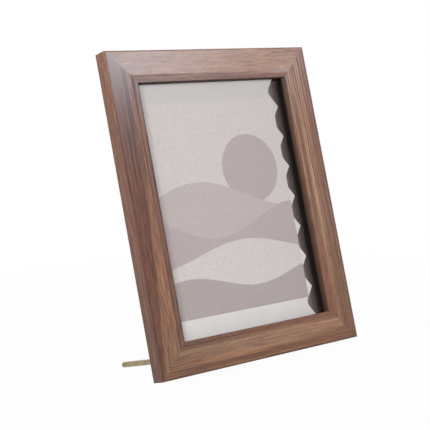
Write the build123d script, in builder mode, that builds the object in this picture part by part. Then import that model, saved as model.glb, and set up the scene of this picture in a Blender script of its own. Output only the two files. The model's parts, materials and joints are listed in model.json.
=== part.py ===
from build123d import *
import os
from math import cos, radians, sin, tan

os.makedirs("parts", exist_ok=True)

# Picture size and how the frame stands
picture_w = 150.0
picture_h = 200.0
lean = 15.0  # degrees back from upright

# Moulding section
rail_face = 24.5  # width seen from the front
picture_overlap = 4.5  # how far the lip covers the picture
edge_gap = 0.6  # room round the picture in the rebate
lip_depth = 6.7  # outer front arris to rebate shoulder
face_rise = 0.8  # the face comes forward towards the step
step_w = 1.2  # slanting step down to the inner strip
step_drop = 1.0
strip_w = 4.5  # strip along the sight edge
strip_drop = 0.1
front_ease = 1.2  # rounding of the front outer arris
arris_ease = 0.4  # rounding of the step's arris and of the sight edge
step_cove = 0.8  # hollow rounding at the foot of the step
back_ease = 0.5  # rounding of the back outer arris

# Layers in the rebate, from the front
layer_gap = 0.05
glass_t = 2.0
card_t = 0.3
mount_t = 0.5
board_t = 3.0
board_chamfer = 0.8

# Scalloped edge of the card
scallop_pitch = 24.4
scallop_depth = 5.2  # to the flat floor of the hollows
scallop_inset = 11.1  # points of the scallops to the picture's right edge
scallop_slant = 35.0  # flanks of the hollows, degrees from the edge
scallop_round = 5.0  # bottom of the first and last hollow, which have no flat floor
scallop_margin = 2.0  # least straight edge above and below the scallops

# Brass pegs and their sockets
peg_d = 4.2
peg_end_round = 1.6
peg_from_side = 6.7
peg_height = 14.7  # above the bottom edge, up the frame
peg_fit = 0.05  # radial clearance in the socket
peg_seat_gap = 0.05
socket_d = 6.0
socket_depth = 9.0
socket_floor = 0.8
socket_flange_d = 7.6
socket_flange_t = 0.5
socket_gap = 0.03  # radial room of the socket in the wood

# V-nails across the mitres
nail_t = 0.6
nail_leg = 4.5
nail_depth = 7.0
nail_half_angle = 40.0
nail_insets = (7.0, 17.0)  # points of the V from the outer edges
nail_gap = 0.03

# Turn buttons on the back
button_t = 0.8
button_arm = 12.4  # pivot to nose
button_tail_r = 4.2
button_nose_r = 3.0
button_lift = 1.1  # rise of the finger tip
button_lift_l = 3.4
button_gap = 0.3  # clear of the back it turns over
button_from_rebate = 7.0  # pivot to the rebate wall
button_spread = 110.0  # between the two buttons of a side rail

# Screws of the turn buttons
screw_d = 2.6
screw_l = 8.0  # length in the wood
screw_head_d = 5.6
screw_head_h = 1.5
screw_head_slope = 0.9
screw_head_gap = 0.15  # head clear of the button
screw_recess_l = 3.0
screw_recess_w = 0.7
screw_recess_depth = 0.8
screw_gap = 0.03  # radial room in the wood
pivot_gap = 0.08  # radial running clearance in the button

# Sawtooth hangers on the backing board
hanger_l = 40.0
hanger_w = 8.0
hanger_t = 0.7
hanger_foot = 7.0  # flat end, with the rivet
hanger_ramp = 2.0
hanger_rise = 1.8
hanger_from_edge = 20.0  # strip's centre line to the picture's edge
tooth_pitch = 2.2
tooth_depth = 1.6
tooth_margin = 1.0  # least plain edge at each end of the teeth

# Rivets of the hangers
rivet_d = 2.4
rivet_head_d = 4.6
rivet_head_h = 1.0
rivet_gap = 0.05

# Sizes that follow
sight_w = picture_w - 2 * picture_overlap
sight_h = picture_h - 2 * picture_overlap
outer_w = sight_w + 2 * rail_face
outer_h = sight_h + 2 * rail_face
rail_depth = lip_depth + glass_t + card_t + mount_t + board_t + 4 * layer_gap
land = rail_face - picture_overlap - edge_gap
mid_h = outer_h / 2
scallop_count = int((picture_h - 2 * scallop_margin) // scallop_pitch)
hanger_flat = hanger_l - 2 * (hanger_foot + hanger_ramp)
tooth_count = int((hanger_flat - 2 * tooth_margin) // tooth_pitch)

# The leaning front face: x right, y up the frame, z out of the face.
# The back bottom arris touches the table and the origin is under the middle of the box.
lean_cos = cos(radians(lean))
lean_sin = sin(radians(lean))
front_y = front_ease * (lean_sin + lean_cos - 1)
back_y = (outer_h - back_ease) * lean_sin + (rail_depth - back_ease) * lean_cos + back_ease
face_y = -(front_y + back_y) / 2
face_z = (rail_depth - back_ease) * lean_sin + back_ease * (1 - lean_cos)
face = Plane(origin=(0, face_y, face_z), x_dir=(1, 0, 0), z_dir=(0, -lean_cos, lean_sin))
rear = face.offset(-rail_depth)

# The pegs project until their rounded ends touch the table
peg_r = peg_d / 2
peg_root_z = face_z + peg_height * lean_cos - rail_depth * lean_sin
peg_drop = peg_root_z - (peg_r - peg_end_round) * lean_cos - peg_end_round
peg_out = peg_drop / lean_sin + peg_end_round
peg_in = socket_depth - socket_floor - peg_seat_gap
peg_x = {"left": -outer_w / 2 + peg_from_side, "right": outer_w / 2 - peg_from_side}

# Depths of the layers behind the front face
glass_front = lip_depth + layer_gap
card_front = glass_front + glass_t + layer_gap
mount_front = card_front + card_t + layer_gap


def back_plane(x, y, x_dir):
    """Plane on the back of the frame, z pointing backwards."""
    return Plane(origin=rear.from_local_coords((x, y, 0)), x_dir=x_dir, z_dir=-face.z_dir)


def side_plane(place):
    """Plane through a place's x and z directions, for side profiles and revolved sections."""
    return Plane(origin=place.origin, x_dir=place.x_dir, z_dir=-place.y_dir)


# Pivots of the turn buttons, each with its x direction towards the picture
pivot_x = picture_w / 2 + edge_gap + button_from_rebate
pivot_y = picture_h / 2 + edge_gap + button_from_rebate
button_places = {
    "left_upper_button": back_plane(-pivot_x, mid_h + button_spread / 2, face.x_dir),
    "left_lower_button": back_plane(-pivot_x, mid_h - button_spread / 2, face.x_dir),
    "right_upper_button": back_plane(pivot_x, mid_h + button_spread / 2, -face.x_dir),
    "right_lower_button": back_plane(pivot_x, mid_h - button_spread / 2, -face.x_dir),
    "top_button": back_plane(0, mid_h + pivot_y, -face.y_dir),
    "bottom_button": back_plane(0, mid_h - pivot_y, face.y_dir),
}

# Hangers, each with its y direction up as the frame hangs
hanger_places = {
    "top_hanger": back_plane(0, mid_h + picture_h / 2 - hanger_from_edge, -face.x_dir),
    "side_hanger": back_plane(picture_w / 2 - hanger_from_edge, mid_h, face.y_dir),
}
rivet_offsets = ((-(hanger_l - hanger_foot) / 2, 0), ((hanger_l - hanger_foot) / 2, 0))


def v_nails(gap):
    """Two V-nails across each mitre, driven in from the back."""
    with BuildSketch() as outline:
        for turn in (-nail_half_angle, nail_half_angle):
            Rectangle(nail_leg + gap, nail_t + 2 * gap, rotation=180 + turn, align=(Align.MIN, Align.CENTER))
    with BuildPart() as nails:
        with BuildSketch(rear):
            for side, up, turn in ((-1, -1, 45), (1, -1, 135), (1, 1, 225), (-1, 1, 315)):
                for inset in nail_insets:
                    corner = (side * (outer_w / 2 - inset), mid_h + up * (mid_h - inset))
                    with Locations(Location(corner, turn)):
                        add(outline.sketch)
        extrude(amount=nail_depth + gap)
    return nails


mitre_v_nails = v_nails(0)
nail_slots = v_nails(nail_gap)

# Holes in the backs of the rails for the sockets and the button screws
with BuildPart() as rail_holes:
    with BuildSketch(rear):
        with Locations(*[(x, peg_height) for x in peg_x.values()]):
            Circle(socket_d / 2 + socket_gap)
    extrude(amount=socket_depth)
    for place in button_places.values():
        with BuildSketch(place):
            Circle(screw_d / 2 + screw_gap)
        extrude(amount=-screw_l)


def rail(mid, inward, length):
    """One mitred length of moulding: mid of its outer front edge, direction to the picture."""
    across = face.x_dir * inward[0] + face.y_dir * inward[1]
    section = Plane(origin=face.from_local_coords((*mid, 0)), x_dir=across, z_dir=across.cross(face.z_dir))
    with BuildPart() as stick:
        with BuildSketch(section):
            with BuildLine():
                FilletPolyline(
                    (0, 0),
                    (rail_face - strip_w - step_w, face_rise),
                    (rail_face - strip_w, face_rise - step_drop),
                    (rail_face, face_rise - step_drop - strip_drop),
                    (rail_face, -lip_depth),
                    (land, -lip_depth),
                    (land, -rail_depth),
                    (0, -rail_depth),
                    radius=(front_ease, arris_ease, step_cove, arris_ease, 0, 0, 0, back_ease),
                    close=True,
                )
            make_face()
        extrude(amount=length / 2, both=True)
        for end in (-1, 1):
            tip = section.from_local_coords((0, 0, end * length / 2))
            mitre = Plane(origin=tip, z_dir=across + section.z_dir * end)
            split(bisect_by=mitre, keep=Keep.BOTTOM)
        add(rail_holes.part, mode=Mode.SUBTRACT)
        add(nail_slots.part, mode=Mode.SUBTRACT)
    return stick


top_rail = rail((0, outer_h), (0, -1), outer_w)
bottom_rail = rail((0, 0), (0, 1), outer_w)
left_rail = rail((-outer_w / 2, mid_h), (1, 0), outer_h)
right_rail = rail((outer_w / 2, mid_h), (-1, 0), outer_h)

# Glass against the rebate shoulder
with BuildPart() as glass_pane:
    with BuildSketch(face.offset(-glass_front)):
        with Locations((0, mid_h)):
            Rectangle(picture_w, picture_h)
    extrude(amount=-glass_t)

# Card behind the glass, its right edge cut in scallops: V hollows, all but the end ones with a flat floor
card_low = mid_h - picture_h / 2
card_high = mid_h + picture_h / 2
points_x = picture_w / 2 - scallop_inset
scallop_low = mid_h - scallop_count * scallop_pitch / 2
slant = tan(radians(scallop_slant))
card_corners = [(points_x, card_low), (points_x, scallop_low)]
card_rounds = [0, 0]
for i in range(scallop_count):
    start_y = scallop_low + i * scallop_pitch
    end_y = start_y + scallop_pitch
    if i in (0, scallop_count - 1):
        card_corners.append((points_x - slant * scallop_pitch / 2, (start_y + end_y) / 2))
        card_rounds.append(scallop_round)
    else:
        floor_x = points_x - scallop_depth
        card_corners.append((floor_x, start_y + scallop_depth / slant))
        card_corners.append((floor_x, end_y - scallop_depth / slant))
        card_rounds += [0, 0]
    card_corners.append((points_x, end_y))
    card_rounds.append(0)
card_corners += [(points_x, card_high), (-picture_w / 2, card_high), (-picture_w / 2, card_low)]
card_rounds += [0, 0, 0]
with BuildPart() as insert_card:
    with BuildSketch(face.offset(-card_front)):
        with BuildLine():
            FilletPolyline(*card_corners, radius=card_rounds, close=True)
        make_face()
    extrude(amount=-card_t)

# Dark sheet behind the card
with BuildPart() as mount_sheet:
    with BuildSketch(face.offset(-mount_front)):
        with Locations((0, mid_h)):
            Rectangle(picture_w, picture_h)
    extrude(amount=-mount_t)

# Board that closes the rebate, flush with the backs of the rails
with BuildPart() as backing_board:
    with BuildSketch(rear):
        with Locations((0, mid_h)):
            Rectangle(picture_w, picture_h)
    extrude(amount=board_t)
    chamfer(faces().sort_by(Axis(face.origin, face.z_dir))[0].edges(), board_chamfer)
    for place in hanger_places.values():
        with BuildSketch(place):
            with Locations(*rivet_offsets):
                Circle(rivet_d / 2 + rivet_gap)
        extrude(amount=-board_t, mode=Mode.SUBTRACT)


def turn_button(place):
    """Stamped button: round about its screw, a narrower nose and a lifted finger tip."""
    tail = -button_tail_r
    lift_start = button_arm - button_lift_l
    top = button_gap + button_t
    with BuildPart() as button:
        with BuildSketch(side_plane(place)):
            with BuildLine():
                Polyline(
                    (tail, button_gap),
                    (lift_start, button_gap),
                    (button_arm, button_gap + button_lift),
                    (button_arm, top + button_lift),
                    (lift_start, top),
                    (tail, top),
                    close=True,
                )
            make_face()
        extrude(amount=button_tail_r, both=True)
        with BuildSketch(place):
            Circle(button_tail_r)
            with Locations((button_arm - button_nose_r, 0)):
                Circle(button_nose_r)
            make_hull()
        extrude(amount=top + button_lift, mode=Mode.INTERSECT)
        with BuildSketch(place):
            Circle(screw_d / 2 + pivot_gap)
        extrude(amount=top, mode=Mode.SUBTRACT)
    return button


buttons = {name: turn_button(place) for name, place in button_places.items()}

# Pan-head screws the buttons turn on
with BuildPart() as button_screws:
    head_low = button_gap + button_t + screw_head_gap
    head_high = head_low + screw_head_h
    head_r = screw_head_d / 2
    for place in button_places.values():
        with BuildSketch(side_plane(place)):
            with BuildLine():
                Polyline(
                    (0, -screw_l),
                    (screw_d / 2, -screw_l),
                    (screw_d / 2, head_low),
                    (head_r, head_low),
                    (head_r - screw_head_slope, head_high),
                    (0, head_high),
                    close=True,
                )
            make_face()
        revolve(axis=Axis(place.origin, place.z_dir))
        with BuildSketch(place.offset(head_high)):
            Rectangle(screw_recess_l, screw_recess_w)
            Rectangle(screw_recess_w, screw_recess_l)
        extrude(amount=-screw_recess_depth, mode=Mode.SUBTRACT)


def peg_socket(x):
    """Flanged sleeve in the back of a side rail, closed at its inner end."""
    place = back_plane(x, peg_height, face.x_dir)
    with BuildPart() as sleeve:
        with BuildSketch(place):
            Circle(socket_d / 2)
        extrude(amount=-socket_depth)
        with BuildSketch(place):
            Circle(socket_flange_d / 2)
        extrude(amount=socket_flange_t)
        with BuildSketch(place.offset(socket_flange_t)):
            Circle(peg_r + peg_fit)
        extrude(amount=socket_floor - socket_depth - socket_flange_t, mode=Mode.SUBTRACT)
    return sleeve


def peg(x):
    """Plain rod with a rounded foot, pushed into its socket."""
    place = back_plane(x, peg_height, face.x_dir)
    with BuildPart() as rod:
        with BuildSketch(place.offset(-peg_in)):
            Circle(peg_r)
        extrude(amount=peg_in + peg_out)
        rims = rod.edges().filter_by(GeomType.CIRCLE).sort_by(Axis(place.origin, place.z_dir))
        fillet(rims[-1], peg_end_round)
    return rod


def sawtooth_hanger(place):
    """Steel strip with riveted feet and a raised middle whose lower edge is notched."""
    half = hanger_l / 2
    ramp_foot = half - hanger_foot
    ramp_top = hanger_flat / 2
    with BuildPart() as strip:
        with BuildSketch(side_plane(place)):
            with BuildLine():
                Polyline(
                    (0, hanger_rise),
                    (ramp_top, hanger_rise),
                    (ramp_foot, 0),
                    (half, 0),
                    (half, hanger_t),
                    (ramp_foot, hanger_t),
                    (ramp_top, hanger_rise + hanger_t),
                    (0, hanger_rise + hanger_t),
                )
                mirror(about=Plane.YZ)
            make_face()
        extrude(amount=hanger_w / 2, both=True)
        with BuildSketch(place):
            with GridLocations(tooth_pitch, 0, tooth_count, 1):
                with Locations((0, -hanger_w / 2)):
                    Polygon((-tooth_pitch / 2, 0), (tooth_pitch / 2, 0), (0, tooth_depth), align=None)
        extrude(amount=hanger_rise + hanger_t, mode=Mode.SUBTRACT)
        with BuildSketch(place):
            with Locations(*rivet_offsets):
                Circle(rivet_d / 2 + rivet_gap)
        extrude(amount=hanger_t, mode=Mode.SUBTRACT)
    return strip


hangers = {name: sawtooth_hanger(place) for name, place in hanger_places.items()}

# Rivets through the hanger feet, set flush with the front of the board
with BuildPart() as hanger_rivets:
    for place in hanger_places.values():
        with BuildSketch(place.offset(-board_t)):
            with Locations(*rivet_offsets):
                Circle(rivet_d / 2)
        extrude(amount=board_t + hanger_t)
        with BuildSketch(place.offset(hanger_t)):
            with Locations(*rivet_offsets):
                Circle(rivet_head_d / 2)
        extrude(amount=rivet_head_h)

pieces = {
    "top_rail": top_rail,
    "bottom_rail": bottom_rail,
    "left_rail": left_rail,
    "right_rail": right_rail,
    "mitre_v_nails": mitre_v_nails,
    "glass_pane": glass_pane,
    "insert_card": insert_card,
    "mount_sheet": mount_sheet,
    "backing_board": backing_board,
    "button_screws": button_screws,
    "hanger_rivets": hanger_rivets,
    **buttons,
    **hangers,
}
for side, x in peg_x.items():
    pieces[f"{side}_peg_socket"] = peg_socket(x)
    pieces[f"{side}_peg"] = peg(x)

for name, piece in pieces.items():
    piece.part.label = name
    export_step(piece.part, f"parts/{name}.step")
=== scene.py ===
import json
from math import asin, cos, pi, radians, sin

import bmesh
import bpy
from mathutils import Matrix, Vector


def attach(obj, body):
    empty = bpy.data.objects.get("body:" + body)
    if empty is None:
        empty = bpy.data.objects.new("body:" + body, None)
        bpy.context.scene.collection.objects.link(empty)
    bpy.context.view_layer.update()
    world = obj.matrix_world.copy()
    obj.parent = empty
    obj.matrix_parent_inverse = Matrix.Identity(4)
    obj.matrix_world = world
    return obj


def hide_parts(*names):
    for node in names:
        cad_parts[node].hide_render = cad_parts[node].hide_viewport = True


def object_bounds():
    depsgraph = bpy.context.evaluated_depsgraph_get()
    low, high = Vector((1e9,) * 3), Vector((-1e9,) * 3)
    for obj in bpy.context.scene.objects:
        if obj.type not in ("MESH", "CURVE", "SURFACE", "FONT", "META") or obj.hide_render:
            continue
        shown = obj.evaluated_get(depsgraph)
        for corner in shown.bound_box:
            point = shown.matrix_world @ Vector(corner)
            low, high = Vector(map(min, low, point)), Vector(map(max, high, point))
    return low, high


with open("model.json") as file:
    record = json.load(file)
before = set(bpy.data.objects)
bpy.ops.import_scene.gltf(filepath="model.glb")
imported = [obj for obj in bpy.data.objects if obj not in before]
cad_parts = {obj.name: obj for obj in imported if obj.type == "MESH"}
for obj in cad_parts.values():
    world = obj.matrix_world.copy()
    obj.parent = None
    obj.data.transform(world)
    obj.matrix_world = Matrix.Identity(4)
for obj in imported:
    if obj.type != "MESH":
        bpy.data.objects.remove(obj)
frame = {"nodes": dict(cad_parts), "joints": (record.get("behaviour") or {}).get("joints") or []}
cad_low, cad_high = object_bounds()

# Camera, taken from the photograph's corners
CAMERA_PLACE = (-0.5173, -0.6620, 0.2287)
CAMERA_TURN = (81.866, 1.424, -37.244)  # degrees
CAMERA_LENS = 92.72  # mm on the sensor below
SENSOR = 36.0

# Stage, metres
FLOOR_SIDE = 12.0
FLOOR_GREY = 0.60
FLOOR_GLOW = 0.965  # share of plain white that the camera sees over the shaded floor
GLOW_START = 0.20  # distance from the object at which the floor starts to turn plain white
GLOW_END = 0.60
AMBIENT = 0.12
WHITE_LIGHT = (1.0, 1.0, 1.0)
WARM_LIGHT = (1.0, 0.97, 0.94)
COOL_LIGHT = (0.77, 0.89, 1.0)
ROSE_LIGHT = (1.0, 0.985, 0.985)

# Grain of the walnut foil
GRAIN_DRIFT = 4.0  # sideways wander of the grain, mm
RUN_PLACES = (0.2, 0.5, 0.8)  # shares of a rail's length at which a look's run is reached
SIDE_BANDS = 0.55  # strength of the wide bands on the side of a rail
SIDE_STREAKS = 0.65
HUE_SHIFT = 20.0  # sets the noise of the hue apart from that of the grain
WALNUT_TONES = (
    (0.24, (0.108, 0.049, 0.035)),
    (0.43, (0.170, 0.081, 0.052)),
    (0.57, (0.240, 0.120, 0.074)),
    (0.77, (0.330, 0.176, 0.112)),
)
WALNUT_HUES = ((0.36, (1.02, 0.955, 1.0)), (0.64, (0.985, 1.04, 0.97)))
PORE_BROWN = (0.075, 0.036, 0.025, 1)
# painted shade on the wall of the lip
WALL_PAINTED_SHADE = (0.022, 0.012, 0.009, 1)
JOINT_BROWN = (0.06, 0.035, 0.026, 1)

# Moulding, millimetres across a rail from its outer edge unless said otherwise
FACE_START = (0.1, 1.0)  # the looks of the side turn to those of the face
ARRIS_RISE = (0.02, 0.3)  # the painted shade of the rounded outer edge comes in
ARRIS_FALL = (0.6, 2.0)  # and goes out
STRIP_WIDTH = 4.5  # inner strip along the sight edge
STEP_WIDTH = 1.2  # slanting step between the face and the strip
STEP_RISE = (-0.6, -0.1)  # the step's painted shade, a paler and cooler painted sheen on the top rail, comes in, counted from its top
STEP_FALL = (0.0, 0.4)  # and goes out, counted from its foot
SIGHT_START = 0.5  # the strip's painted shade starts, counted from the foot of the step
WALL_START = (-0.25, -0.02)  # the strip turns into the wall of the lip, which has painted shade, counted from the sight edge
WALL_ROUNDING = 1.0  # top of the wall, which has the painted shade that the look gives
WALL_FOOT_PAINTED_SHADE = 0.9  # painted shade of the wall at the glass
WRAP_TURN = 4.0  # foil turned over onto the back of the rail
WRAP_RAGGED = 0.5  # unevenness of its edge
BACK_SKIN = 0.06  # depth that counts as the back of the rail
SHOULDER_SKIN = 0.02  # height above the rebate's shoulder that counts as raw
REBATE_MARGIN = 1.2  # reach of the raw board past the edge of the glass
MITRE_LINE = 0.12  # half width of the joint line
MITRE_FADE = 2.2  # times that, where the line has faded
MITRE_DARK = 0.3
DULL_ROUGHNESS = 0.45  # added on raw board, in the step and on the wall of the lip
SIDE_DULL = 0.5  # share of it on the side

# Printed card, millimetres in the frame's face
PRINT_MARGIN = 14.7  # white card between the print and the upper and lower sight edges
PRINT_SOFT = 0.25  # half width of the soft edge of a printed form
TRIM_SOFT = 0.15  # the same for the edge of the whole print
RULE_WIDTH = 0.35
RULE_DARK = 0.55
SCALLOP_DEPTH = 5.2
CARD_PAINTED_SHADE = (0.600, 0.577, 0.564, 1)  # painted shade under the top rail: the card's white turns to it towards the upper sight edge
RULE_GREY = (0.30, 0.27, 0.27, 1)
GROUND = (0.660, 0.602, 0.592, 1)
MAUVE = (0.478, 0.398, 0.408, 1)
WASH = (0.436, 0.372, 0.366, 1)
PALE_MAUVE = (0.530, 0.462, 0.454, 1)
PALE = (0.670, 0.615, 0.602, 1)
DISC_CENTRE = (24, 146)
DISC_RADIUS = 27
WAVY_BANDS = (  # level, height and length of the upper edge's wave, its phase, the ink
    (126, 13, 188, 2.6, PALE_MAUVE),
    (106, 11, 150, 5.4, MAUVE),
    (84, 8, 170, 1.4, PALE),
    (62, 6, 128, 4.1, WASH),
)
FADE_START = 2.5  # the dark sheet's painted shade starts this far under the card, grey there and black at the right rail

# Hardware on the back, millimetres
BUTTON_EDGE = 0.16  # rounding of stamped edges
HANGER_EDGE = 0.14
FLANGE_EDGE = 0.15
EDGE_STEPS = 3
SHARP_ANGLE = radians(40)  # edges sharper than this are rounded and shaded as edges
FLUSH_ANGLE = radians(0.5)  # facets that differ less than this are joined
WELD = 0.000002  # metres
FLAT = 0.99  # least share of the axis in the normal of a flat top or underside
PIN_SIDES = 40
DOME_STEPS = 6
DOME_PROFILE = 0.55
SCREW_HEAD = 2.8  # radius
SCREW_HEAD_LOW = 1.25  # underside of the head above the back of the rail
SCREW_HEAD_HIGH = 2.75
SCREW_DOME = 1.15
SCREW_SHANK = 1.3
SCREW_LENGTH = 8.0
RECESS_LENGTH = 3.0
RECESS_WIDTH = 0.75
RECESS_DEPTH = 0.85
RECESS_TAPER = 0.55
FIRST_RECESS_TURN = 25  # degrees; the screws stop at different turns
NEXT_RECESS_TURN = 37
RIVET_HEAD = 2.3
RIVET_LOW = 0.7  # thickness of the hanger under the head
RIVET_HIGH = 1.7
RIVET_DOME = 0.8
RIVET_SHANK = 1.2
RIVET_LENGTH = 3.0
RIVET_FROM_END = 3.5
DIMPLE_INSET = 0.35  # share of the head's flat top
DIMPLE_DEPTH = 0.35
DIMPLE_TAPER = 0.7

# Frame axes: x to the right, y up the leaning face, z out of the face
peg_axis = next(j["axis"] for j in frame["joints"] if j["name"] == "left_peg_pull")
LEAN = asin(-peg_axis[2])
AXES = (
    Vector((1, 0, 0)),
    Vector((0, sin(LEAN), cos(LEAN))),
    Vector((0, -cos(LEAN), sin(LEAN))),
)
MM = 1000.0


def extent(node, axis):
    """Least and greatest place of a CAD node along a frame axis, in metres."""
    places = [v.co.dot(AXES[axis]) for v in frame["nodes"][node].data.vertices]
    return min(places), max(places)


# The material coordinates start at the middle of the bottom edge of the back face
BACK = extent("bottom_rail", 2)[0]
BOTTOM = extent("bottom_rail", 1)[0]
HALF_WIDTH = extent("right_rail", 0)[1] * MM
HEIGHT = (extent("top_rail", 1)[1] - BOTTOM) * MM
RAIL_FACE = HALF_WIDTH - extent("right_rail", 0)[0] * MM
STEP_FOOT = RAIL_FACE - STRIP_WIDTH
STEP_TOP = STEP_FOOT - STEP_WIDTH
LAND = HALF_WIDTH - extent("glass_pane", 0)[1] * MM
SHOULDER = (extent("glass_pane", 2)[1] - BACK) * MM
SIGHT_LOW = RAIL_FACE
SIGHT_HIGH = HEIGHT - RAIL_FACE
LIP_WALL = (extent("bottom_rail", 2)[1] - BACK) * MM - SHOULDER
SCALLOP_FLOOR = extent("insert_card", 0)[1] * MM - SCALLOP_DEPTH


class Nodes:
    """Node tree of a material or a world, filled by short calls that hand back output sockets."""

    def __init__(self, owner, output):
        self.owner = owner
        owner.use_nodes = True
        self.tree = owner.node_tree
        self.tree.nodes.clear()
        self.output = self.node(output)

    def node(self, kind, inputs=None, **settings):
        made = self.tree.nodes.new("ShaderNode" + kind)
        for key, value in settings.items():
            setattr(made, key, value)
        for key, value in (inputs or {}).items():
            self.feed(made.inputs[key], value)
        return made

    def feed(self, socket, value):
        if isinstance(value, bpy.types.NodeSocket):
            self.tree.links.new(value, socket)
        else:
            socket.default_value = value

    def add(self, kind, inputs=None, **settings):
        """First output of a new node."""
        return self.node(kind, inputs, **settings).outputs[0]

    def math(self, operation, *values):
        return self.add("Math", dict(enumerate(values)), operation=operation)

    def span(self, value, low, high, to_low=0.0, to_high=1.0, smooth=True):
        """value from low to high, spread over to_low to to_high and held outside."""
        return self.add(
            "MapRange",
            {0: value, 1: low, 2: high, 3: to_low, 4: to_high},
            interpolation_type="SMOOTHSTEP" if smooth else "LINEAR",
        )

    def past(self, value, edge, soft):
        """0 before an edge and 1 past it, with a change that reaches soft to both sides."""
        return self.span(value, edge - soft, edge + soft)

    def before(self, value, edge, soft):
        """1 before an edge and 0 past it, with a change that reaches soft to both sides."""
        return self.span(value, edge - soft, edge + soft, 1.0, 0.0)

    def between(self, value, rise, fall):
        """1 between two slopes, each given by its start and end, and 0 outside them."""
        return self.math("MULTIPLY", self.span(value, *rise), self.span(value, *fall, 1.0, 0.0))

    def blend(self, share, first, second, mode="MIX"):
        inputs = {0: share, 6: first, 7: second}
        return self.node("Mix", inputs, data_type="RGBA", blend_type=mode).outputs[2]

    def times(self, colour, tint, share=1.0):
        """Colour multiplied by a tint, as far as the share says."""
        return self.blend(share, colour, tint, "MULTIPLY")

    def ramp(self, value, *stops):
        made = self.node("ValToRGB", {0: value})
        points = made.color_ramp.elements
        for _ in stops[2:]:
            points.new(0.5)
        for point, (place, colour) in zip(points, stops):
            point.position = place
            point.color = (*colour, 1)
        return made.outputs[0]

    def vector(self, x, y, z):
        return self.add("CombineXYZ", {0: x, 1: y, 2: z})

    def parts(self, vector):
        return tuple(self.node("SeparateXYZ", {0: vector}).outputs)

    def length(self, vector):
        return self.node("VectorMath", {0: vector}, operation="LENGTH").outputs["Value"]

    def noise(self, vector, stretch, detail=2.0, roughness=0.5, shift=(0, 0, 0)):
        """Noise around 0.5; stretch is how many grains go into one unit of each axis."""
        scaled = self.add("Mapping", {0: vector, "Location": shift, "Scale": stretch})
        inputs = {"Vector": scaled, "Scale": 1.0, "Detail": detail, "Roughness": roughness}
        return self.add("TexNoise", inputs)

    def seen(self):
        """1 for what the camera sees straight, mirrored or through the glass."""
        path = self.node("LightPath").outputs
        plainly = self.math("MAXIMUM", path["Is Camera Ray"], path["Is Glossy Ray"])
        return self.math("MAXIMUM", plainly, path["Is Transmission Ray"])

    def either(self, share, first, second):
        """Two shaders mixed, all of the second at a share of 1."""
        return self.add("MixShader", {0: share, 1: first, 2: second})

    def done(self, shader):
        """The material or world with the shader on it."""
        self.tree.links.new(shader, self.output.inputs[0])
        return self.owner


class Finish(Nodes):
    """Material whose patterns lie on the frame's own axes."""

    def __init__(self, name):
        super().__init__(bpy.data.materials.new(name), "OutputMaterial")

    def place(self):
        """Frame coordinates of the surface in millimetres."""
        inputs = {
            0: self.node("TexCoord").outputs["Object"],
            "Location": (0, -BOTTOM * MM, -BACK * MM),
            "Rotation": (LEAN - radians(90), 0, 0),
            "Scale": (MM, MM, MM),
        }
        return self.add("Mapping", inputs)

    def bump(self, height, strength, distance):
        return self.add("Bump", {"Height": height, "Strength": strength, "Distance": distance})

    def surface(self, **values):
        """Principled shader; underscores in the names stand for spaces."""
        inputs = {key.replace("_", " "): value for key, value in values.items()}
        return self.add("BsdfPrincipled", inputs)


def grey(value):
    return (value, value, value, 1)


def raw_fibreboard(finish, place):
    """Colour of cut fibreboard, with fine fibres and a few darker flecks, and its fibres."""
    fibres = finish.noise(place, (2.2, 2.2, 2.2), 4, 0.65)
    flecks = finish.noise(place, (0.55, 0.9, 0.9), 2, 0.5, (40, 7, 3))
    base = finish.ramp(
        fibres,
        (0.25, (0.21, 0.125, 0.07)),
        (0.55, (0.36, 0.235, 0.14)),
        (0.8, (0.47, 0.325, 0.205)),
    )
    dark = finish.span(flecks, 0.63, 0.75, 0.0, 0.3)
    return finish.blend(dark, base, (0.16, 0.09, 0.05, 1)), fibres


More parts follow.
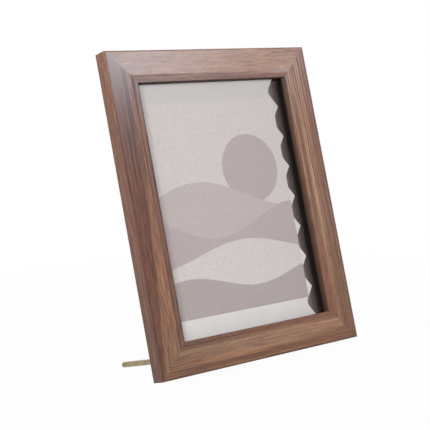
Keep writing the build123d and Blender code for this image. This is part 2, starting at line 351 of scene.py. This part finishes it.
class Walnut(Finish):
    """Walnut foil on one rail: grain along the rail, dark mitre line, raw board at the back,
    and painted light and shade in its tints and on its outer edge, step, strip and lip wall.

    What a look says, always from the rail's lower or left end to its other end:
    shift: start of the noises
    streak_length: length of a streak in millimetres
    bands: number of wide bands in a millimetre, and their strength
    figure, flecks: strength of the streaks and of the short flecks
    run: strength of bands and streaks at the low end, in the middle and at the high end
    roughness: that of dark and of light streaks
    side, outer, inner, strip: tints of the rail's side, of the outer and inner parts of its face and
    of the strip, each at the low tip, the low end, the high end and the high tip; the tint of a tip
    multiplies that of its end. The tints are partly the wood's own tone and partly painted light
    and shade, which changes along each rail with how the light falls; the top rail's are paler and
    cooler, a painted sheen
    tip_lengths: how far the tips reach, in millimetres
    turn: shares of the length between which the face's low tints change to its high ones
    split: where the outer and inner parts meet at the low end and from the middle on, and half
    the width of their blend, in millimetres
    arris_shade: painted shade of the rounded outer edge, at both ends
    step_line: shift of the step's painted shade towards the sight edge, in millimetres
    step_shade: painted shade in the step, and on the top rail a paler, cooler painted sheen;
    sight_shade: painted shade of the strip at the sight edge
    wall_dark: painted shade at the top of the lip's wall
    """

    def __init__(self, edge, look):
        super().__init__("walnut_" + edge)
        self.look = look
        self.frame_place = self.place()
        x, y, self.z = self.parts(self.frame_place)
        if edge in ("left", "right"):
            self.along = y
            self.ends = (0.0, HEIGHT)
            self.to_end = self.math("MINIMUM", y, self.math("SUBTRACT", HEIGHT, y))
        else:
            self.along = x
            self.ends = (-HALF_WIDTH, HALF_WIDTH)
            self.to_end = self.math("SUBTRACT", HALF_WIDTH, self.math("ABSOLUTE", x))
        from_edge = {
            "left": ("ADD", x, HALF_WIDTH),
            "right": ("SUBTRACT", HALF_WIDTH, x),
            "bottom": ("ADD", y, 0.0),
            "top": ("SUBTRACT", HEIGHT, y),
        }
        self.across = self.math(*from_edge[edge])
        self.on_face = self.span(self.across, *FACE_START)

    def grain(self):
        """Colour of the wood, its streaks and its pores, all drawn out along the rail."""
        look = self.look
        shift = look["shift"]
        straight = self.vector(self.along, self.across, self.z)
        wander = self.noise(straight, (0.010, 0.04, 0.04), 2, 0.5, shift)
        drift = self.math("MULTIPLY", self.math("SUBTRACT", wander, 0.5), GRAIN_DRIFT)
        grain = self.vector(self.along, self.math("ADD", self.across, drift), self.z)
        band_scale, band_strength = look["bands"]
        bands = self.noise(grain, (0.0035, band_scale, band_scale), 2, 0.5, shift)
        streaks = self.noise(grain, (1.0 / look["streak_length"], 1.0, 1.0), 4, 0.65, shift)
        flecks = self.noise(grain, (0.07, 1.3, 1.3), 3, 0.65, shift)
        pores = self.noise(grain, (0.16, 3.4, 3.4), 2, 0.5, shift)

        stops = [(place, (strength,) * 3) for place, strength in zip(RUN_PLACES, look["run"])]
        run = self.ramp(self.span(self.along, *self.ends, smooth=False), *stops)
        mixed = 0.5
        for pattern, side_strength, face_strength in (
            (bands, SIDE_BANDS, band_strength),
            (streaks, SIDE_STREAKS, look["figure"]),
        ):
            face_strength = self.math("MULTIPLY", run, face_strength)
            share = self.span(self.on_face, 0.0, 1.0, side_strength, face_strength, smooth=False)
            mixed = self.math("MULTIPLY_ADD", self.math("SUBTRACT", pattern, 0.5), share, mixed)
        fleck_part = self.math("SUBTRACT", flecks, 0.5)
        mixed = self.math("MULTIPLY_ADD", fleck_part, look["flecks"], mixed)

        colour = self.ramp(mixed, *WALNUT_TONES)
        hue_shift = [start + HUE_SHIFT for start in shift]
        warmth = self.noise(grain, (0.006, 0.25, 0.25), 2, 0.5, hue_shift)
        colour = self.times(colour, self.ramp(warmth, *WALNUT_HUES))
        in_pores = self.span(pores, 0.32, 0.46, 0.5, 0.0)
        return self.blend(in_pores, colour, PORE_BROWN), streaks, pores

    def tone(self):
        """Tint of the side, the two parts of the face and the strip, partly the wood's own tone and
        partly painted light and shade, with painted shade on the strip towards the sight edge.
        """
        look = self.look
        low_end, high_end = self.ends
        low_length, high_length = look["tip_lengths"]
        at_low = self.span(self.along, low_end, low_end + low_length, 1.0, 0.0)
        at_high = self.span(self.along, high_end - high_length, high_end)
        turn = [low_end + share * (high_end - low_end) for share in look["turn"]]
        tints = {}
        for part in ("side", "outer", "inner", "strip"):
            low_tip, low, high, high_tip = [(*tint, 1) for tint in look[part]]
            to_high = self.span(self.along, *(self.ends if part == "side" else turn))
            tint = self.times(self.blend(to_high, low, high), low_tip, at_low)
            tints[part] = self.times(tint, high_tip, at_high)

        low_split, high_split, soft = look["split"]
        middle = (low_end + high_end) / 2
        split = self.span(self.along, low_end, middle, low_split, high_split, smooth=False)
        past_split = self.past(self.math("SUBTRACT", self.across, split), 0.0, soft)
        face = self.blend(past_split, tints["outer"], tints["inner"])
        # Painted shade: the strip darkens towards the sight edge
        dark_from = STEP_FOOT + SIGHT_START
        to_sight = self.span(self.across, dark_from, RAIL_FACE, 1.0, look["sight_shade"])
        strip = self.times(tints["strip"], to_sight)
        face = self.blend(self.span(self.across, STEP_TOP, STEP_FOOT), face, strip)
        return self.blend(self.on_face, tints["side"], face)

    def raw(self):
        """1 on raw board: on the back past the turned edge of the foil, and in the rebate."""
        ragged = self.noise(self.vector(self.along, 0.0, 0.0), (0.3, 1, 1), 2)
        foil_edge = self.math("MULTIPLY_ADD", ragged, WRAP_RAGGED, WRAP_TURN)
        past_foil = self.math("GREATER_THAN", self.across, foil_edge)
        on_back = self.math("LESS_THAN", self.z, BACK_SKIN)
        under_shoulder = self.math("LESS_THAN", self.z, SHOULDER + SHOULDER_SKIN)
        past_land = self.math("GREATER_THAN", self.across, LAND - REBATE_MARGIN)
        in_rebate = self.math("MULTIPLY", under_shoulder, past_land)
        return self.math("MAXIMUM", self.math("MULTIPLY", past_foil, on_back), in_rebate)

    def build(self):
        look = self.look
        colour, streaks, pores = self.grain()
        colour = self.times(colour, self.tone())

        # Painted shade on the rounded outer edge
        arris = self.span(self.along, *self.ends, *look["arris_shade"])
        colour = self.times(colour, arris, self.between(self.across, ARRIS_RISE, ARRIS_FALL))

        # Slanting step: painted shade, and on the top rail a paler, cooler painted sheen
        step_top = STEP_TOP + look["step_line"]
        step_foot = STEP_FOOT + look["step_line"]
        rise = [step_top + place for place in STEP_RISE]
        fall = [step_foot + place for place in STEP_FALL]
        in_step = self.between(self.across, rise, fall)
        colour = self.times(colour, (*look["step_shade"], 1), in_step)

        # Painted shade on the wall of the lip, darker towards the glass
        wall = self.span(self.across, *[RAIL_FACE + place for place in WALL_START])
        wall_top = SHOULDER + LIP_WALL - WALL_ROUNDING
        deep = self.span(self.z, SHOULDER, wall_top, WALL_FOOT_PAINTED_SHADE, look["wall_dark"])
        colour = self.blend(self.math("MULTIPLY", wall, deep), colour, WALL_PAINTED_SHADE)

        # Raw board and the joint line of the mitre
        raw = self.raw()
        colour = self.blend(raw, colour, raw_fibreboard(self, self.frame_place)[0])
        off_mitre = self.math("ABSOLUTE", self.math("SUBTRACT", self.to_end, self.across))
        joint = self.span(off_mitre, MITRE_LINE, MITRE_LINE * MITRE_FADE, MITRE_DARK, 0.0)
        colour = self.blend(joint, colour, JOINT_BROWN)

        # Satin sheen, dull where there is no smooth foil
        sheen = self.span(streaks, 0.3, 0.7, *look["roughness"])
        dull = self.span(self.on_face, 0.0, 1.0, SIDE_DULL, 0.0)
        for place in (in_step, wall, raw):
            dull = self.math("MAXIMUM", dull, place)
        relief = self.math("MULTIPLY_ADD", pores, 0.6, streaks)
        return self.done(
            self.surface(
                Base_Color=colour,
                Roughness=self.math("MULTIPLY_ADD", dull, DULL_ROUGHNESS, sheen),
                Specular_IOR_Level=0.4,
                Normal=self.bump(relief, 0.35, 0.00006),
            )
        )


def picture_glass():
    """Clear low-reflection glass with faint smears; lamps and soft light pass straight through."""
    finish = Finish("picture_glass")
    smears = finish.noise(finish.place(), (0.02, 0.045, 0.02), 3, 0.6)
    clear = finish.surface(
        Base_Color=(0.985, 0.988, 0.985, 1),
        Roughness=finish.span(smears, 0.5, 0.8, 0.0, 0.012),
        IOR=1.5,
        Specular_Tint=grey(0.45),
        Transmission_Weight=1.0,
    )
    path = finish.node("LightPath").outputs
    passing = finish.math("MAXIMUM", path["Is Shadow Ray"], path["Is Diffuse Ray"])
    open_air = finish.add("BsdfTransparent", {0: (0.93, 0.932, 0.93, 1)})
    return finish.done(finish.either(passing, clear, open_air))


def printed_card():
    """Pale card with a muted print of wavy bands and one disc between white margins; the white
    is painted darker towards the top rail as shade.
    """
    finish = Finish("printed_card")
    place = finish.place()
    x, y, _ = finish.parts(place)
    fibre = finish.noise(place, (1.3, 1.3, 1.3), 4, 0.6)

    # Forms of the print
    from_centre = [finish.math("SUBTRACT", *pair) for pair in zip((x, y), DISC_CENTRE)]
    away = finish.length(finish.vector(*from_centre, 0.0))
    ink = finish.blend(finish.before(away, DISC_RADIUS, PRINT_SOFT), GROUND, MAUVE)
    for level, height, length, phase, colour in WAVY_BANDS:
        wave = finish.math("SINE", finish.math("MULTIPLY_ADD", x, 2 * pi / length, phase))
        crest = finish.math("MULTIPLY_ADD", wave, height, level)
        under = finish.past(finish.math("SUBTRACT", crest, y), 0.0, PRINT_SOFT)
        ink = finish.blend(under, ink, colour)

    # Uneven ink, fine and coarse
    specks = finish.noise(place, (2.4, 2.4, 2.4), 2, 0.6, (9, 4, 0))
    ink = finish.times(ink, finish.span(specks, 0.35, 0.65, 0.91, 1.07))
    uneven = finish.noise(place, (0.55, 0.38, 0.5), 4, 0.6, (2, 6, 0))
    ink = finish.times(ink, finish.span(uneven, 0.3, 0.7, 0.94, 1.06))

    # White margins, a fine rule under the print, and no print past the hollows of the scallops
    mottle = finish.noise(place, (0.05, 0.07, 0.05), 3, 0.5)
    white = finish.ramp(mottle, (0.3, (0.730, 0.706, 0.698)), (0.7, (0.768, 0.744, 0.735)))
    # Painted shade: the white darkens from the lower sight edge to the upper one
    white = finish.blend(finish.span(y, SIGHT_LOW, SIGHT_HIGH), white, CARD_PAINTED_SHADE)
    low = SIGHT_LOW + PRINT_MARGIN
    high = SIGHT_HIGH - PRINT_MARGIN
    above = finish.past(y, low, TRIM_SOFT)
    below = finish.before(y, high, TRIM_SOFT)
    left_of = finish.before(x, SCALLOP_FLOOR, TRIM_SOFT)
    printed = finish.math("MULTIPLY", finish.math("MULTIPLY", above, below), left_of)
    colour = finish.blend(printed, white, ink)
    from_rule = finish.math("ABSOLUTE", finish.math("SUBTRACT", y, low))
    rule = finish.span(from_rule, RULE_WIDTH, RULE_WIDTH * 2, RULE_DARK, 0.0)
    colour = finish.blend(finish.math("MULTIPLY", rule, left_of), colour, RULE_GREY)
    return finish.done(
        finish.surface(
            Base_Color=colour,
            Roughness=finish.span(fibre, 0.3, 0.7, 0.62, 0.8),
            Specular_IOR_Level=0.3,
            Normal=finish.bump(fibre, 0.12, 0.00008),
        )
    )


def dark_sheet():
    """Black sheet with painted shade: grey under the card, black towards the right rail."""
    finish = Finish("dark_sheet")
    place = finish.place()
    x, _, _ = finish.parts(place)
    tooth = finish.noise(place, (1.6, 1.6, 1.6), 3, 0.6)
    sight_edge = HALF_WIDTH - RAIL_FACE
    # Painted shade: grey under the card's scallops, black at the right rail's lip
    colour = finish.ramp(
        finish.span(x, SCALLOP_FLOOR - FADE_START, sight_edge, smooth=False),
        (0.0, (0.190, 0.148, 0.138)),
        (0.45, (0.026, 0.010, 0.0045)),
        (0.8, (0.002, 0.001, 0.001)),
    )
    return finish.done(
        finish.surface(
            Base_Color=colour,
            Roughness=finish.span(tooth, 0.3, 0.7, 0.7, 0.9),
            Specular_IOR_Level=0.15,
            Normal=finish.bump(tooth, 0.1, 0.00005),
        )
    )


def fibreboard():
    """Thin hardboard of the back: brown fibres, smoother face."""
    finish = Finish("fibreboard")
    place = finish.place()
    board, fibres = raw_fibreboard(finish, place)
    clouds = finish.noise(place, (0.03, 0.03, 0.03), 3, 0.5, (5, 5, 5))
    shade = finish.ramp(clouds, (0.3, (0.70, 0.66, 0.62)), (0.7, (0.92, 0.90, 0.87)))
    return finish.done(
        finish.surface(
            Base_Color=finish.times(board, shade),
            Roughness=finish.span(fibres, 0.3, 0.7, 0.62, 0.82),
            Normal=finish.bump(fibres, 0.25, 0.0001),
        )
    )


def zinc_steel():
    """Zinc-plated steel: cool grey, cloudy plating and fine scratches."""
    finish = Finish("zinc_steel")
    place = finish.place()
    clouds = finish.noise(place, (0.45, 0.45, 0.45), 3, 0.6)
    scratches = finish.noise(place, (0.5, 9.0, 2.0), 2, 0.5, (3, 1, 2))
    scuffed = finish.span(scratches, 0.35, 0.65, 0.18, 0.3)
    return finish.done(
        finish.surface(
            Base_Color=finish.ramp(clouds, (0.3, (0.42, 0.43, 0.45)), (0.7, (0.50, 0.51, 0.525))),
            Metallic=1.0,
            Roughness=finish.math("MULTIPLY_ADD", clouds, 0.2, scuffed),
            Normal=finish.bump(scratches, 0.05, 0.00001),
        )
    )


def brass():
    """Drawn brass rod: warm metal with fine rings and a touch of tarnish."""
    finish = Finish("brass")
    place = finish.place()
    rings = finish.noise(place, (0.4, 0.4, 7.0), 2, 0.5)
    tarnish = finish.noise(place, (0.25, 0.25, 0.12), 3, 0.6, (2, 8, 1))
    colour = finish.ramp(tarnish, (0.3, (0.232, 0.180, 0.096)), (0.65, (0.345, 0.278, 0.154)))
    return finish.done(
        finish.surface(
            Base_Color=colour,
            Metallic=1.0,
            Roughness=finish.span(rings, 0.3, 0.7, 0.24, 0.34),
            Normal=finish.bump(rings, 0.08, 0.00002),
        )
    )


# Looks of the four rails; the plain values are those that three of them share. The tints are
# partly the wood's own tone and partly painted light and shade
EVEN = (1.0, 1.0, 1.0)
PLAIN = {
    "roughness": (0.28, 0.21),
    "turn": (0.0, 1.0),
    "split": (10.0, 10.0, 4.0),
}
RAILS = {
    "left": {
        "shift": (3.1, 7.7, 1.2),
        "streak_length": 70.0,
        "bands": (0.40, 0.9),
        "figure": 1.4,
        "flecks": 1.4,
        "run": (0.35, 0.9, 3.0),
        "roughness": (0.225, 0.165),
        "side": ((0.92, 0.92, 0.92), (0.61, 0.515, 0.505), (0.99, 0.875, 0.815), EVEN),
        "outer": ((1.02, 1.07, 1.02), (0.585, 0.443, 0.443), (0.47, 0.36, 0.37), (0.85, 0.85, 0.90)),
        "inner": ((0.84, 0.93, 0.95), (1.14, 1.12, 1.00), (0.56, 0.36, 0.38), (1.42, 1.54, 1.34)),
        "strip": ((0.98, 1.02, 0.95), (0.77, 0.71, 0.77), (0.74, 0.74, 0.80), (1.05, 1.10, 1.14)),
        "tip_lengths": (45.0, 45.0),
        "turn": (0.42, 0.95),
        "split": (3.5, 13.5, 1.5),
        "arris_shade": (0.52, 0.85),
        "step_line": 1.0,
        "step_shade": (0.80, 0.80, 0.80),
        "sight_shade": 0.72,
        "wall_dark": 0.0,
    },
    "right": {
        **PLAIN,
        "shift": (11.4, 2.3, 5.9),
        "streak_length": 200.0,
        "bands": (0.40, 1.25),
        "figure": 1.7,
        "flecks": 0.85,
        "run": (0.45, 1.1, 1.35),
        "side": (EVEN, (0.95, 0.90, 0.90), (0.95, 0.90, 0.90), EVEN),
        "outer": ((1.10, 1.04, 0.92), (0.774, 0.747, 0.783), (1.28, 1.235, 1.295), (1.37, 1.71, 2.04)),
        "inner": ((0.86, 0.72, 0.64), (1.22, 1.37, 1.35), (1.47, 1.64, 1.62), (0.82, 0.92, 1.28)),
        "strip": ((1.00, 0.90, 0.83), (1.25, 1.28, 1.23), (1.78, 1.82, 1.76), (1.08, 1.43, 1.80)),
        "tip_lengths": (110.0, 70.0),
        "arris_shade": (0.5, 0.5),
        "step_line": 0.8,
        "step_shade": (0.78, 0.78, 0.78),
        "sight_shade": 0.6,
        "wall_dark": 0.3,
    },
    "top": {
        **PLAIN,
        "shift": (6.8, 13.1, 9.4),
        "streak_length": 70.0,
        "bands": (0.16, 0.25),
        "figure": 0.5,
        "flecks": 0.95,
        "run": (0.15, 0.15, 0.9),
        "side": (EVEN, (1.05, 1.02, 1.02), (1.05, 1.02, 1.02), EVEN),
        "outer": ((0.75, 0.66, 0.58), (1.22, 1.40, 1.55), (1.56, 1.60, 1.66), (0.94, 1.04, 1.30)),
        "inner": (EVEN, (1.17, 1.20, 1.26), (1.58, 1.64, 1.70), (1.10, 1.28, 1.50)),
        "strip": ((1.05, 1.12, 1.25), (0.86, 0.93, 1.15), (0.93, 0.95, 1.03), (1.40, 1.50, 1.65)),
        "tip_lengths": (30.0, 70.0),
        "arris_shade": (0.85, 0.85),
        "step_line": 0.35,
        "step_shade": (1.36, 1.85, 2.25),
        "sight_shade": 0.9,
        "wall_dark": 0.97,
    },
    "bottom": {
        **PLAIN,
        "shift": (17.9, 4.6, 2.7),
        "streak_length": 120.0,
        "bands": (0.16, 0.5),
        "figure": 0.9,
        "flecks": 0.75,
        "run": (1.8, 1.15, 1.15),
        "side": (EVEN, (1.0, 0.93, 0.92), (1.0, 0.93, 0.92), EVEN),
        "outer": ((0.79, 0.77, 0.84), (1.28, 1.26, 1.07), (1.00, 0.955, 0.815), (0.90, 0.87, 0.80)),
        "inner": ((0.83, 0.79, 0.78), (1.21, 1.37, 1.36), (1.57, 1.77, 1.76), (0.95, 0.94, 0.84)),
        "strip": ((0.86, 0.79, 0.87), (0.70, 0.63, 0.59), (1.05, 0.95, 0.89), (0.92, 0.93, 0.90)),
        "tip_lengths": (70.0, 70.0),
        "arris_shade": (0.42, 0.42),
        "step_line": -0.5,
        "step_shade": (0.72, 0.70, 0.70),
        "sight_shade": 0.9,
        "wall_dark": 0.0,
    },
}
FINISHES = {edge + "_rail": Walnut(edge, look).build() for edge, look in RAILS.items()}
FINISHES["glass_pane"] = picture_glass()
FINISHES["insert_card"] = printed_card()
FINISHES["mount_sheet"] = dark_sheet()
FINISHES["backing_board"] = fibreboard()
steel = zinc_steel()
yellow_metal = brass()
for name, node in frame["nodes"].items():
    node.data.materials.clear()
    node.data.materials.append(FINISHES.get(name, yellow_metal if "peg" in name else steel))


def choose(piece):
    """Makes a piece the only selected object and the active one."""
    bpy.ops.object.select_all(action="DESELECT")
    piece.select_set(True)
    bpy.context.view_layer.objects.active = piece


def edit(piece):
    choose(piece)
    bpy.ops.object.mode_set(mode="EDIT")


def close():
    bpy.ops.object.mode_set(mode="OBJECT")


def pick_faces(piece, test):
    """Selects the faces of the open piece that pass the test, and nothing else."""
    bpy.ops.mesh.select_all(action="DESELECT")
    open_mesh = bmesh.from_edit_mesh(piece.data)
    for face in open_mesh.faces:
        face.select_set(test(face))
    bmesh.update_edit_mesh(piece.data)


def flat_top(face):
    return face.normal.z > FLAT


def flat_underside(face):
    return face.normal.z < -FLAT


def finished(piece, name, body, slot, material, *nodes):
    """Names a new piece, gives it its finish and body, and lets it stand for its CAD nodes."""
    piece.name = name
    piece.data.name = name
    piece.data.materials.clear()
    piece.data.materials.append(material)
    choose(piece)
    bpy.ops.object.shade_smooth_by_angle(angle=SHARP_ANGLE)
    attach(piece, body)
    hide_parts(*nodes)


def rounded_copy(node, edge):
    """Copy of a CAD piece with its sharp edges rounded off."""
    piece = bpy.data.objects.new(node, frame["nodes"][node].data.copy())
    bpy.context.scene.collection.objects.link(piece)
    edit(piece)
    bpy.ops.mesh.select_all(action="SELECT")
    bpy.ops.mesh.remove_doubles(threshold=WELD)
    bpy.ops.mesh.dissolve_limited(angle_limit=FLUSH_ANGLE)
    close()
    soft = piece.modifiers.new("rounded_edges", "BEVEL")
    soft.width = edge / MM
    soft.segments = EDGE_STEPS
    soft.limit_method = "ANGLE"
    soft.angle_limit = SHARP_ANGLE
    bpy.ops.object.modifier_apply(modifier=soft.name)
    return piece


def headed_pin(head, low, high, dome, shank, length):
    """Turned pin at the origin, along z: domed head on a plain shank."""
    bpy.ops.object.select_all(action="DESELECT")
    bpy.ops.mesh.primitive_cylinder_add(
        vertices=PIN_SIDES,
        radius=head / MM,
        depth=(high - low) / MM,
        location=(0, 0, (low + high) / 2 / MM),
    )
    pin = bpy.context.object
    bpy.ops.object.transform_apply()
    edit(pin)
    pick_faces(pin, flat_top)
    bpy.ops.mesh.bevel(
        offset=dome / MM, segments=DOME_STEPS, profile=DOME_PROFILE, affect="EDGES"
    )
    pick_faces(pin, flat_underside)
    bpy.ops.mesh.inset(thickness=(head - shank) / MM)
    down = {"value": (0, 0, -(low + length) / MM)}
    bpy.ops.mesh.extrude_region_move(TRANSFORM_OT_translate=down)
    close()
    return pin


def cross_recess(screw):
    """Cuts two crossed, tapering slots into the top of a screw head."""
    for turn in (0, 90):
        bpy.ops.object.select_all(action="DESELECT")
        bpy.ops.mesh.primitive_cube_add(size=1, location=(0, 0, SCREW_HEAD_HIGH / MM))
        slot_cutter = bpy.context.object
        slot_cutter.scale = (RECESS_LENGTH / MM, RECESS_WIDTH / MM, 2 * RECESS_DEPTH / MM)
        slot_cutter.rotation_euler.z = radians(turn)
        bpy.ops.object.transform_apply()
        edit(slot_cutter)
        pick_faces(slot_cutter, flat_underside)
        bpy.ops.transform.resize(value=(RECESS_TAPER, RECESS_TAPER, 1))
        close()
        cut = screw.modifiers.new("recess", "BOOLEAN")
        cut.operation = "DIFFERENCE"
        cut.solver = "EXACT"
        cut.object = slot_cutter
        choose(screw)
        bpy.ops.object.modifier_apply(modifier=cut.name)
        bpy.data.objects.remove(slot_cutter)


def rivet_dimple(rivet):
    """Shallow hollow in the middle of a rivet head."""
    edit(rivet)
    pick_faces(rivet, flat_top)
    bpy.ops.mesh.inset(thickness=(RIVET_HEAD - RIVET_DOME) * DIMPLE_INSET / MM)
    down = {"value": (0, 0, -DIMPLE_DEPTH / MM)}
    bpy.ops.mesh.extrude_region_move(TRANSFORM_OT_translate=down)
    bpy.ops.transform.resize(value=(DIMPLE_TAPER, DIMPLE_TAPER, 1))
    close()


def set_of(pattern, places):
    """One piece made of copies of a pattern, one at each place; the pattern is used up."""
    copies = []
    for place in places:
        copy = bpy.data.objects.new(pattern.name, pattern.data.copy())
        bpy.context.scene.collection.objects.link(copy)
        copy.matrix_world = place
        copies.append(copy)
    bpy.data.objects.remove(pattern)
    choose(copies[0])
    for copy in copies[1:]:
        copy.select_set(True)
    bpy.ops.object.transform_apply()
    bpy.ops.object.join()
    return bpy.context.object


def back_place(point, turn):
    """Place on the back of the frame: z backwards, turned about it by some degrees."""
    axes = Matrix((-AXES[0], AXES[1], -AXES[2])).transposed().to_4x4()
    return Matrix.Translation(point) @ axes @ Matrix.Rotation(radians(turn), 4, "Z")


def on_frame(x, y, z):
    """Point from places along the three frame axes, in metres."""
    return AXES[0] * x + AXES[1] * y + AXES[2] * z


button_joints = [joint for joint in frame["joints"] if joint.get("continuous")]
for node in [joint["child"] for joint in button_joints]:
    button = rounded_copy(node, BUTTON_EDGE)
    finished(button, "stamped_" + node, node, "zinc_steel", steel, node)
for node in ("top_hanger", "side_hanger"):
    hanger = rounded_copy(node, HANGER_EDGE)
    finished(hanger, "pressed_" + node, "frame", "zinc_steel", steel, node)
for node in ("left_peg_socket", "right_peg_socket"):
    socket = rounded_copy(node, FLANGE_EDGE)
    finished(socket, "turned_" + node, "frame", "brass", yellow_metal, node)

screw = headed_pin(
    SCREW_HEAD, SCREW_HEAD_LOW, SCREW_HEAD_HIGH, SCREW_DOME, SCREW_SHANK, SCREW_LENGTH
)
cross_recess(screw)
screw_places = [
    back_place(Vector(joint["pos_m"]), FIRST_RECESS_TURN + NEXT_RECESS_TURN * index)
    for index, joint in enumerate(button_joints)
]
screws = set_of(screw, screw_places)
finished(screws, "pan_head_screws", "frame", "zinc_steel", steel, "button_screws")

rivet = headed_pin(RIVET_HEAD, RIVET_LOW, RIVET_HIGH, RIVET_DOME, RIVET_SHANK, RIVET_LENGTH)
rivet_dimple(rivet)
rivet_places = []
for node, along in (("top_hanger", 0), ("side_hanger", 1)):
    middles = [sum(extent(node, axis)) / 2 for axis in (0, 1)]
    for end, inward in zip(extent(node, along), (1, -1)):
        middles[along] = end + inward * RIVET_FROM_END / MM
        rivet_places.append(back_place(on_frame(*middles, BACK), 0))
rivets = set_of(rivet, rivet_places)
finished(rivets, "domed_rivets", "frame", "zinc_steel", steel, "hanger_rivets")


def floor_finish():
    """Pale floor: shaded softly, and mostly white to the camera."""
    finish = Finish("floor")
    shaded = finish.add("BsdfDiffuse", {0: grey(FLOOR_GREY)})
    white = finish.add("Emission", {0: grey(1.0), 1: 1.0})
    away = finish.length(finish.node("TexCoord").outputs["Object"])
    glow = finish.span(away, GLOW_START, GLOW_END, FLOOR_GLOW, 1.0)
    share = finish.math("MULTIPLY", finish.seen(), glow)
    return finish.done(finish.either(share, shaded, white))


def studio_world():
    """White surroundings to the camera, soft white light on the object."""
    studio = Nodes(bpy.data.worlds.new("studio"), "OutputWorld")
    soft = studio.add("Background", {0: grey(1.0), 1: AMBIENT})
    white = studio.add("Background", {0: grey(1.0), 1: 1.0})
    return studio.done(studio.either(studio.seen(), soft, white))


def softbox(name, place, size, radiance, tint):
    """Rectangular area lamp at a place, turned to shine at the middle of the object."""
    wide, high = size
    lamp = bpy.data.lights.new(name, "AREA")
    lamp.shape = "RECTANGLE"
    lamp.size = wide
    lamp.size_y = high
    lamp.energy = radiance * pi * wide * high
    lamp.color = tint
    box = bpy.data.objects.new(name, lamp)
    bpy.context.scene.collection.objects.link(box)
    box.location = place
    aim = (cad_low + cad_high) / 2 - Vector(place)
    box.rotation_euler = aim.to_track_quat("-Z", "Y").to_euler()
    return box


def keep_off(lamp, piece):
    """Keeps the light of a lamp off one piece."""
    lit = bpy.data.collections.new(lamp.name + "_lights")
    lit.objects.link(piece)
    lit.collection_objects[0].light_linking.link_state = "EXCLUDE"
    lamp.light_linking.receiver_collection = lit


bpy.ops.object.select_all(action="DESELECT")
bpy.ops.mesh.primitive_plane_add(size=FLOOR_SIDE)
floor = bpy.context.object
floor.name = "floor"
floor.data.materials.append(floor_finish())
bpy.context.scene.world = studio_world()

fill = softbox("fill_softbox", (-1.05, -1.45, 0.62), (1.2, 0.3), 29.0, ROSE_LIGHT)
sheen = softbox("sheen_softbox", (0.465, -1.348, 1.09), (1.35, 0.36), 12.6, COOL_LIGHT)
softbox("left_softbox", (-1.5, 0.10, 0.7), (0.8, 0.8), 2.6, WARM_LIGHT)
softbox("right_softbox", (1.5, 0.10, 0.7), (0.8, 0.8), 2.6, WARM_LIGHT)
rear = softbox("rear_softbox", (0.6, 1.7, 0.9), (1.2, 0.8), 7.0, WHITE_LIGHT)
top = softbox("top_softbox", (0.0, 0.42, 1.55), (1.2, 0.4), 6.0, WHITE_LIGHT)
for lamp in (fill, rear, top):
    lamp.visible_glossy = False
sheen.visible_diffuse = False
keep_off(sheen, frame["nodes"]["glass_pane"])

camera = bpy.data.cameras.new("camera")
camera.lens = CAMERA_LENS
camera.sensor_width = SENSOR
eye = bpy.data.objects.new("camera", camera)
bpy.context.scene.collection.objects.link(eye)
eye.location = CAMERA_PLACE
eye.rotation_euler = [radians(angle) for angle in CAMERA_TURN]
bpy.context.scene.camera = eye
bpy.context.scene.view_settings.view_transform = "Standard"
